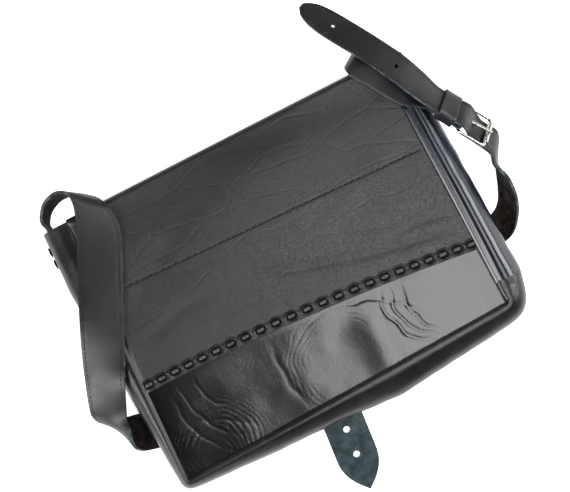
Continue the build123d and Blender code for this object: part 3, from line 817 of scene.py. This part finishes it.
MATTE_STOPS = (
    (-161.5, 131, 180, 27, 52.6, 0.6),
    (-163.5, 80, 180, 27, 52.6, 0.8),
    (-165.0, 40, 180, 25, 52.6, 1.0),
    (-166.6, 0, 180, 21, 52.4, 1.2),
    (-168.2, -42, 180, 17.5, 52.0, 1.6),
    (-170.0, -90, 181, 12.5, 51.6, 1.8),
    (-171.2, -120, 190, 9.5, 51.4, 1.8),
    (-170.5, -130.4, 228, 10, 51.4, 1.8),
    (-160, -130.6, 262, 12, 51.4, 1.8),
    (-125, -129.4, 270, 15, 51.4, 2.2),
    (-85, -128.2, 271, 18.5, 51.4, 2.6),
    (-40, -126.8, 271, 21, 51.4, 2.8),
    (0, -125.4, 271, 24, 51.4, 2.8),
    (38, -124.2, 271, 28, 51.4, 2.6),
    (90, -122.5, 272, 25, 51.4, 2.4),
    (135, -121, 274, 22, 51.4, 2.2),
    (158, -120.3, 285, 20, 51.4, 2.0),
    (164.4, -118, 325, 20, 51.4, 2.0),
    (164.6, -108, 355, 24, 51.6, 2.0),
    (164.8, -98, 360, 26, 51.8, 2.0),
)
NAVY_STOPS = (
    (164.8, -98.6, 0, 26, 52.6, 2.4),
    (164.4, -60, 0, 25.5, 53.4, 2.8),
    (163.8, -10, 0, 24.6, 54.0, 2.8),
    (163.0, 30, 0, 24, 54.2, 2.6),
    (162.4, 70, 0, 23.2, 54.2, 2.4),
    (161.9, 105, 0, 23, 54.0, 1.8),
    (161.5, 131, 0, 23, 53.2, 1.0),
)
matte_hides = (roll_hide, lining_suede, dark_edge)
navy_hides = (navy_calf, lining_suede, dark_edge)
roll_matte = rolled_side("roll_matte", MATTE_STOPS, 14, matte_hides)
roll_navy = rolled_side("roll_navy", NAVY_STOPS, 16, navy_hides, start_in=4.5, welt=True)
for roll, node, slot in (
    (roll_matte, "gusset_matte", "matte_leather"),
    (roll_navy, "gusset_navy", "navy_leather"),
):
    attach(roll, "bag")
    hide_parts(node)

# %% [markdown]
# ## Straps
# A belt is a ribbon: at each stop of its route it has a left and a right edge, and everything between
# follows smoothly. Across its width it is a shallow crown with a pressed line near each edge, where the
# stitching pulls the leather down.

# %% Strap routes
AT_TL, AT_TR = Vector((-161.5, 131, 54)), Vector((161.5, 131, 54))
AT_BL, AT_BR = Vector((-171.5, -131, 0)), Vector((164.5, -120, 0))
BUCKLE_AT = AT_TR + Vector((59.2, -104.1, -16))
BUCKLE_OUT = Vector((0.5808, 0.2098, 0.7865)).normalized()
BUCKLE_ALONG = Vector((-0.541, 0.8215, 0.1803)).normalized()
BUCKLE_ACROSS = BUCKLE_OUT.cross(BUCKLE_ALONG)
BELT = 28.0
UNDER = 6.7  # height of the belt where it runs under the bag


def from_corner(corner, points):
    """Stops of a route, each a left and a right edge measured from one corner of the bag."""
    return [(*(corner + Vector(a)), *(corner + Vector(b))) for a, b in points]


def in_buckle(x, z, width=BELT):
    """A stop in the buckle, measured along its strap and out of its face."""
    middle = BUCKLE_AT + BUCKLE_ALONG * x + BUCKLE_OUT * z
    return (*(middle - BUCKLE_ACROSS * width / 2), *(middle + BUCKLE_ACROSS * width / 2))


# the belt climbs from under the buckle's bar, over it and on to its strap: along, out
INTO_BUCKLE = [(-12, -6.5), (0, -4.6), (8, -4), (14, -1.5), (20, 2.2)]
PAST_BUCKLE = [(25, 5), (30, 5.8), (38, 4.4), (46, 4.1), (62, 4.1)]
SHOULDER_ROUTE = (
    from_corner(
        AT_TL,
        [
            ((-19.7, -37, -10), (-19.7, -37, -31)),
            ((-19.7, -10, -10), (-19.7, -10, -31)),
            ((-20, 3.5, -8.8), (-20, 2.5, -32)),
            ((-21, 10, -5), (-20, 8.5, -32)),
            ((-17, 17, 0), (-12.5, 17.5, -28.5)),
            ((-9, 24, 5), (1.5, 23, -24)),
            ((1, 27, 9), (16, 21, -18.5)),
            ((9, 25.5, 12), (27.5, 13, -9.5)),
            ((14, 20, 12.5), (35.5, 5.5, 0.5)),
            ((14, 10, 11), (41, -3.5, 4.5)),
            ((10.5, -1.5, 8.5), (42.5, -15.5, 4)),
            ((5.5, -14.5, 6), (41.5, -28, 3.5)),
            ((-1.5, -26.5, 4.5), (36.5, -41, 3.5)),
            ((-10.5, -45.5, 4), (27, -61, 3.5)),
            ((-19.5, -64, 3.8), (18, -80, 3.5)),
            ((-32, -91, 3), (5, -106.5, 3.5)),
        ],
    )
    + from_corner(
        AT_BL,
        [
            ((-33, 147, 50.5), (3, 131, 57)),
            ((-43, 123, 43), (-9.5, 107, 56)),
            ((-52.5, 98.5, 36.5), (-21, 85.5, 41)),
            ((-54, 89, 28.5), (-26, 75, 38)),
            ((-51.5, 82, 18.5), (-28, 64, 40)),
            ((-44.5, 77.5, 9.5), (-32, 54, 34)),
            ((-34, 74.5, 3.5), (-32.5, 45.5, 25)),
            ((-21.5, 72.5, 2.5), (-28, 39.5, 15)),
            ((-10, 70.5, UNDER), (-19.5, 36, UNDER)),
            ((12, 66, UNDER), (12, 30, UNDER)),
            ((50, 63.5, UNDER), (50, 28.5, UNDER)),
            ((100, 65, UNDER), (100, 31, UNDER)),
        ],
    )
    + from_corner(
        AT_BR,
        [
            ((-176.5, 58, UNDER), (-175.5, 26, UNDER)),
            ((-106.5, 62, UNDER), (-105.5, 32, UNDER)),
            ((-46.5, 66.5, UNDER), (-45.5, 37.5, UNDER)),
            ((-7, 69.5, UNDER), (-5, 41.5, UNDER)),
            ((16.5, 74, 7), (19.5, 46, 9)),
            ((33, 78.5, 8.5), (37.5, 52, 18)),
            ((42, 86.5, 11), (47.5, 65, 28)),
            ((47.5, 98, 13), (53.5, 80.5, 35)),
            ((53, 112, 13), (54.5, 102, 39)),
        ],
    )
    + from_corner(AT_TR, [((60.5, -129, -40.5), (51.5, -133.5, -14))])
    + [in_buckle(x, z) for x, z in INTO_BUCKLE + PAST_BUCKLE]
    + from_corner(
        AT_TR,
        [
            ((30, -27.5, -5), (10, -42.5, 8)),
            ((20, -5, -0.5), (-2, -19, 9.5)),
            ((4, 23.5, 0), (-18, 10.5, 10)),
            ((-14, 53.5, -2), (-36, 40.5, 8)),
            ((-25, 69, -3), (-44, 57, 6)),
            ((-34.5, 76.5, -2), (-46.5, 69.5, 3)),
            ((-40.5, 78.5, -1), (-44.5, 76, 1)),
        ],
    )
)
FOLD_R = 2.9  # the buckle's strap round the bar
BUCKLE_ROUTE = (
    [in_buckle(x, -1.25, 23) for x in (60, 50, 40)]
    + [in_buckle(30 - FOLD_R * sin(a), -FOLD_R * cos(a), 23) for a in (0.0, pi / 4, pi / 2, 3 * pi / 4, pi)]
    + [in_buckle(x, 1.25, w) for x, w in ((40, 23), (50, 24), (61, 26))]
    + from_corner(
        AT_TR,
        [
            ((28.5, -37.5, -8.5), (7.5, -51.5, 3.5)),
            ((19, -28.5, -2), (-4, -43.5, 4)),
            ((4.5, -7.5, 1.2), (-18.5, -22, 4.5)),
            ((-6.5, 10.5, 2.2), (-30, -4, 4.5)),
            ((-11.5, 18.5, -3), (-32.5, 2.5, 4)),
            ((-12, 22.5, -12), (-32, 8.5, -1.5)),
            ((-7, 22, -20), (-28, 10, -7.5)),
            ((1, 18.5, -28), (-16, 10, -9.5)),
            ((8, 15, -33), (-3, 12, -9)),
            ((15, 9, -33.5), (10.5, 9, -8.5)),
            ((16, 0.5, -32.5), (15.5, 0.5, -8.5)),
            ((16, -10, -31.5), (16, -10, -9.5)),
            ((16, -37, -31.5), (16, -37, -9.5)),
        ],
    )
)

# %% Ribbon


def ribbon_frames(route, steps):
    """Middle, across, out and width of a strap at every row of its route."""
    rows = smooth_rows(route, steps)
    first, second = rows[:, :3], rows[:, 3:]
    middle = (first + second) / 2
    across = second - first
    width = np.linalg.norm(across, axis=1, keepdims=True)
    across = across / width
    ahead = np.gradient(middle, axis=0)
    ahead -= across * (ahead * across).sum(1, keepdims=True)
    ahead /= np.linalg.norm(ahead, axis=1, keepdims=True)
    return middle, across, np.cross(ahead, across), width[:, 0], ahead


def punch_holes(hide, holes):
    """Cuts round holes through a hide. holes: centre, axis and radius of each."""
    for centre, axis, radius in holes:
        place = Vector(centre) * MM
        bpy.ops.mesh.primitive_cylinder_add(vertices=28, radius=radius * MM, depth=0.016, location=place)
        punch = bpy.context.object
        punch.rotation_euler = Vector(axis).to_track_quat("Z", "Y").to_euler()
        cut = hide.modifiers.new("hole", "BOOLEAN")
        cut.operation = "DIFFERENCE"
        cut.object = punch
        cut.solver = "EXACT"
        bpy.context.view_layer.objects.active = hide
        bpy.ops.object.modifier_apply(modifier=cut.name)
        bpy.data.objects.remove(punch)


def ribbon(name, route, steps, thickness, materials, groove=0.4, columns=17, bevel=0.45, holes=()):
    """A belt laid along a route, with a crown and a pressed line at each edge."""
    middle, across, out, width, ahead = ribbon_frames(route, steps)
    rows = []
    for m, c, o, w in zip(middle, across, out, width):
        row = []
        for k in np.linspace(1, -1, columns):
            from_edge = (1 - abs(k)) * w / 2
            lift = 0.25 * (1 - k * k) - groove * hill(from_edge - 3.0, 0.9)
            row.append(m + c * (k * w / 2) + o * (thickness / 2 + lift - 0.15))
        rows.append(row)
    belt = lay_grid(name, rows)
    finish_hide(belt, thickness, materials, bevel=bevel, angle=60)
    punch_holes(belt, holes)
    return belt


BELT_STEPS = 6
belt_frames = ribbon_frames(SHOULDER_ROUTE, BELT_STEPS)


def at_stop(frames, index, steps=BELT_STEPS):
    """Middle and outward way of a strap at one stop of its route."""
    return frames[0][int(index * steps)], frames[2][int(index * steps)]


BELT_THICK = 2.9
BELT_HOLE_STOPS, BELT_HOLE_R = (49, 51), 1.9
belt_holes = [(*at_stop(belt_frames, stop), BELT_HOLE_R) for stop in BELT_HOLE_STOPS]
belt_hides = (belt_grain, belt_suede, cut_edge)
shoulder_belt = ribbon(
    "shoulder_belt", SHOULDER_ROUTE, BELT_STEPS, BELT_THICK, belt_hides, holes=belt_holes
)
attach(shoulder_belt, "bag")
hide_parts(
    "strap_ring", "strap_run", "strap_wrap", "strap_under", "strap_bow", "strap_tail"
)

buckle_belt = ribbon(
    "buckle_belt", BUCKLE_ROUTE, 6, 2.3, (smooth_strap, belt_suede, cut_edge), groove=0.0, columns=11
)
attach(buckle_belt, "bag")
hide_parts("buckle_strap")

# %% [markdown]
# ## Stitches
# A stitch is a short length of waxed thread, thickest in its middle and diving into the leather at both
# ends. One is modelled from a small sphere and copied along each sewn line.

# %% Sewing
bpy.ops.mesh.primitive_uv_sphere_add(segments=8, ring_count=5, radius=0.5)
stitch_seed = bpy.context.object


def take_seed(piece):
    """Points and faces of one stitch, whose own object is then removed."""
    seed = np.array([v.co for v in piece.data.vertices]), [tuple(p.vertices) for p in piece.data.polygons]
    bpy.data.objects.remove(piece)
    return seed


thread_stitch = take_seed(stitch_seed)


def sew(name, stitches, size, material, seed=thread_stitch):
    """Copies one stitch to every (place, way, out). size: length, width and height.

    The seed lies along its own Z, is as wide as its X and stands up along its Y.
    """
    seed_points, seed_faces = seed
    points, faces = [], []
    for place, way, out in stitches:
        way, out = np.array(way, float), np.array(out, float)
        side = np.cross(out, way)
        body = (
            np.outer(seed_points[:, 2] * size[0], way)
            + np.outer(seed_points[:, 0] * size[1], side)
            + np.outer(seed_points[:, 1] * size[2], out)
        )
        start = len(points) * len(seed_points)
        points.append(body + np.array(place, float))
        faces += [tuple(i + start for i in face) for face in seed_faces]
    mesh = bpy.data.meshes.new(name)
    mesh.from_pydata((np.concatenate(points) * MM).tolist(), [], faces)
    mesh.polygons.foreach_set("use_smooth", [True] * len(faces))
    mesh.materials.append(material)
    seam = bpy.data.objects.new(name, mesh)
    bpy.context.scene.collection.objects.link(seam)
    print(name, len(stitches), "stitches")
    return seam


def belt_stitches(frames, pitch, inset, thickness, slant=0.12):
    """Stitches near both edges of a belt, on its grain side and on its flesh side."""
    middle, across, out, width, ahead = frames
    walked = np.concatenate([[0], np.cumsum(np.linalg.norm(np.diff(middle, axis=0), axis=1))])
    made = []
    for distance in np.arange(pitch, walked[-1] - 6, pitch):
        pick = [
            np.array([np.interp(distance, walked, values[:, k]) for k in range(3)])
            for values in (middle, across, out, ahead)
        ]
        m, c, o, a = [pick[0]] + [v / np.linalg.norm(v) for v in pick[1:]]
        half = np.interp(distance, walked, width) / 2 - inset
        for side in (-1, 1):
            for face in (-1, 1):
                way = a + c * slant * side * face
                place = m + c * side * half + o * face * (thickness / 2 - (0.22 if face > 0 else 0.02))
                made.append((place, way / np.linalg.norm(way), o * face))
    return made


belt_line = belt_stitches(belt_frames, 4.3, 3.0, BELT_THICK)
belt_seams = sew("belt_stitching", belt_line, (3.4, 1.0, 0.9), belt_thread)
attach(belt_seams, "bag")

# %% Stitching across the back
SLANT = 0.16  # each stitch lies a little across its line
BACK_LEFT, BACK_SPAN = -165, 328  # the back's left edge and width at the stitching
back_line = []
for step in range(STITCH_COUNT):
    spot = STITCH_FROM + stitch_way * ((step + 0.5) / STITCH_COUNT)
    way = Vector((1, stitch_way.y / stitch_way.x + SLANT, 0)).normalized()
    share = (spot.x - BACK_LEFT) / BACK_SPAN
    z = BACK_Z + 0.2 + 0.5 * ripple(spot.x, spot.y, 70, 3) + 0.14 * ripple(spot.x, spot.y, 28, 7)
    z += 0.8 * sin(pi * share) - crease_depth(spot.x, spot.y, UPPER_CREASES)
    z += swell(share, (TOP_FLAT_Y - spot.y) / (TOP_FLAT_Y - seam_point(share, UPPER_SHIFT).y))
    back_line.append(((spot.x, spot.y, z - 0.05), way, (0, 0, 1)))
back_seam = sew("back_seam_stitching", back_line, (4.6, 1.35, 0.9), waxed_thread)
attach(back_seam, "bag")
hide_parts("back_stitching")

# %% [markdown]
# ## Lacing
# The two hides of the back are joined by one long lace in a running stitch. What shows of each stitch is
# a short bar that rises out of one slot and dives into the next.

# %% Laces
LACE_LONG, LACE_WIDE, LACE_THICK, LACE_DIVE = 7.8, 3.5, 1.5, 1.9
bpy.ops.mesh.primitive_cube_add(size=1)
lace_seed = bpy.context.object
bpy.ops.object.mode_set(mode="EDIT")
bpy.ops.mesh.select_all(action="SELECT")
bpy.ops.mesh.subdivide(number_cuts=6)
bpy.ops.object.mode_set(mode="OBJECT")
for vertex in lace_seed.data.vertices:
    x, y, z = vertex.co
    waist = 1 - 0.12 * (2 * x) ** 2
    height = z * LACE_THICK * (1 - 0.5 * (2 * y) ** 4) - LACE_DIVE * (2 * abs(x)) ** 3
    vertex.co = (y * LACE_WIDE * waist, height, x * LACE_LONG)
lace_stitch = take_seed(lace_seed)

lace_line = []
for number, (spot, way) in enumerate(zip(lace_spots, lace_ways)):
    turn = 0.10 * noise.noise(Vector((number * 1.7, 3, 1)))
    along = (way.x - turn * way.y, way.y + turn * way.x, 0)
    place = (spot.x, spot.y, BACK_Z + 0.35 + 0.2 * noise.noise(Vector((number, 1, 1))))
    lace_line.append((place, along, (0, 0, 1)))
lacing = sew("lacing", lace_line, (1, 1, 1), waxed_lace, lace_stitch)
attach(lacing, "bag")
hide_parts("seam_lace")

# %% [markdown]
# ## Small flat pieces
# The small flat pieces keep their CAD outline: a copy of the plate is merged, its cut edges are rounded
# and it takes the leather of its place. The front hide lies under the bag, seen when the flap opens.

# %% Copies of flat leather pieces


def softened_copy(node, name, material, bevel):
    """A merged copy of a CAD piece with its cut edges rounded."""
    copy = nodes[node].copy()
    copy.data = nodes[node].data.copy()
    copy.name = copy.data.name = name
    copy.parent = None
    for key in list(copy.keys()):
        if key.startswith("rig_"):
            del copy[key]
    bpy.context.scene.collection.objects.link(copy)
    bpy.context.view_layer.objects.active = copy
    copy.select_set(True)
    bpy.ops.object.mode_set(mode="EDIT")
    bpy.ops.mesh.select_all(action="SELECT")
    bpy.ops.mesh.remove_doubles(threshold=0.00001)
    bpy.ops.mesh.dissolve_limited(angle_limit=radians(4))
    bpy.ops.object.mode_set(mode="OBJECT")
    round_edges = copy.modifiers.new("edges", "BEVEL")
    round_edges.width = bevel * MM
    round_edges.segments = 3
    round_edges.limit_method = "ANGLE"
    bpy.ops.object.modifier_apply(modifier=round_edges.name)
    bpy.ops.object.shade_smooth_by_angle(angle=radians(40))
    copy.select_set(False)
    copy.data.materials.clear()
    copy.data.materials.append(material)
    return copy


FLAT_PIECES = (
    ("inner_pocket", "inner_pocket_hide", "bag", lining_suede, 0.4, "suede"),
    ("stud_patch", "stud_patch_hide", "bag", lining_suede, 0.4, "suede"),
    ("front_panel", "front_hide", "bag", oiled_cowhide, 0.6, "matte_leather"),
    ("mouth_binding", "mouth_binding_hide", "bag", roll_hide, 0.4, "matte_leather"),
    ("gusset_hem", "gusset_hem_hide", "bag", roll_hide, 0.4, "matte_leather"),
    ("gusset_lace", "gusset_lace_cord", "bag", waxed_lace, 0.5, "lace"),
)
for node, name, body, material, bevel, slot in FLAT_PIECES:
    piece = softened_copy(node, name, material, bevel)
    print(name, len(piece.data.polygons), "faces")
    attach(piece, body)
    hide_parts(node)

# %% [markdown]
# ## Tongue and keeper
# The tongue is one thick piece shown flesh side up, sewn to the flap with its first stretch and free
# past the flap's edge. It is one grid. The keeper is a band sewn into a loop round the straps, with a
# soft waist; its rows are square rings.

# %% Tongue
TONGUE_LONG, TONGUE_POINT, TONGUE_HALF = 139.5, 36.0, 20.0
tongue_from = Vector((-14.5, FLAP_EDGE, 0))
tongue_right = Vector((cos(radians(5)), -sin(radians(5)), 0))
tongue_up = Vector((sin(radians(5)), cos(radians(5)), 0))


def on_tongue(right, up, z):
    """A spot on the tongue, measured from where it leaves the flap."""
    return tongue_from + tongue_right * right + tongue_up * up + Vector((0, 0, z))


TONGUE_TOP, TONGUE_THICK, TONGUE_SEWN = 4.8, 2.4, 32
TONGUE_HOLES, TONGUE_HOLE_R = (-79.0, -104.3), 3.3
tongue_rows = []
for up in np.linspace(TONGUE_SEWN, -TONGUE_LONG, 130):
    past = max(0.0, (-up - (TONGUE_LONG - TONGUE_POINT)) / TONGUE_POINT)
    half = max(1.2, TONGUE_HALF * (1 - past**2.26))
    tongue_rows.append([on_tongue(half * k, up, TONGUE_TOP) for k in np.linspace(1, -1, 25)])
tongue_hide = lay_grid("tongue_hide", tongue_rows)
tongue_hides = (tongue_suede, oiled_cowhide, cut_edge)
finish_hide(tongue_hide, TONGUE_THICK, tongue_hides, bevel=0.35, angle=60)
tongue_punches = [(on_tongue(0, up, 3.6), (0, 0, 1), TONGUE_HOLE_R) for up in TONGUE_HOLES]
punch_holes(tongue_hide, tongue_punches)
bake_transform(tongue_hide)
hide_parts("tongue", "tongue_root")

# %% Keeper
keeper_rows = []
KEEPER_LONG, KEEPER_FROM = 17.0, 36.5
KEEPER_LOW, KEEPER_HIGH, KEEPER_HALF = -4.7, 8.7, 16.6
KEEPER_MIDDLE, KEEPER_SQUARE = 2, 5  # the loop's middle height, and how square its corners are
corner_stops = []
for angle in np.linspace(0, 2 * pi, 49)[:-1]:
    c, s = cos(angle), sin(angle)
    reach = (abs(c) ** KEEPER_SQUARE + abs(s) ** KEEPER_SQUARE) ** (-1 / KEEPER_SQUARE)
    rise = s * reach * (KEEPER_HIGH - KEEPER_LOW) / 2
    corner_stops.append((c * reach * KEEPER_HALF, KEEPER_MIDDLE + rise))
corner_stops.append(corner_stops[0])
for step in np.linspace(0, 1, 13):
    waist = 1 - 0.025 * sin(pi * step)
    row = []
    for across, out in corner_stops:
        spot = BUCKLE_AT + BUCKLE_ALONG * (KEEPER_FROM + KEEPER_LONG * step)
        height = KEEPER_MIDDLE + (out - KEEPER_MIDDLE) * waist
        row.append(spot + BUCKLE_ACROSS * (across * waist) + BUCKLE_OUT * height)
    keeper_rows.append(row)
keeper_loop = lay_grid("keeper_loop", keeper_rows)
bpy.context.view_layer.objects.active = keeper_loop
bpy.ops.object.mode_set(mode="EDIT")
bpy.ops.mesh.select_all(action="SELECT")
bpy.ops.mesh.remove_doubles(threshold=0.00001)
bpy.ops.mesh.normals_make_consistent(inside=False)
bpy.ops.object.mode_set(mode="OBJECT")
finish_hide(keeper_loop, 1.7, (smooth_strap, belt_suede, cut_edge), bevel=0.35, angle=60)
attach(keeper_loop, "keeper")
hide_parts("strap_keeper")

# %% Metal and thread of the CAD model
for node, material in (
    ("buckle_frame", nickel_wire),
    ("buckle_roller", nickel_wire),
    ("buckle_prong", nickel_wire),
    ("closing_stud", dull_brass),
    ("stud_screw", dull_brass),
    ("left_strap_rivets", blackened_brass),
    ("right_strap_rivets", blackened_brass),
    ("tongue_stitching", waxed_thread),
):
    nodes[node].data.materials.clear()
    nodes[node].data.materials.append(material)
    print(node, material.name)
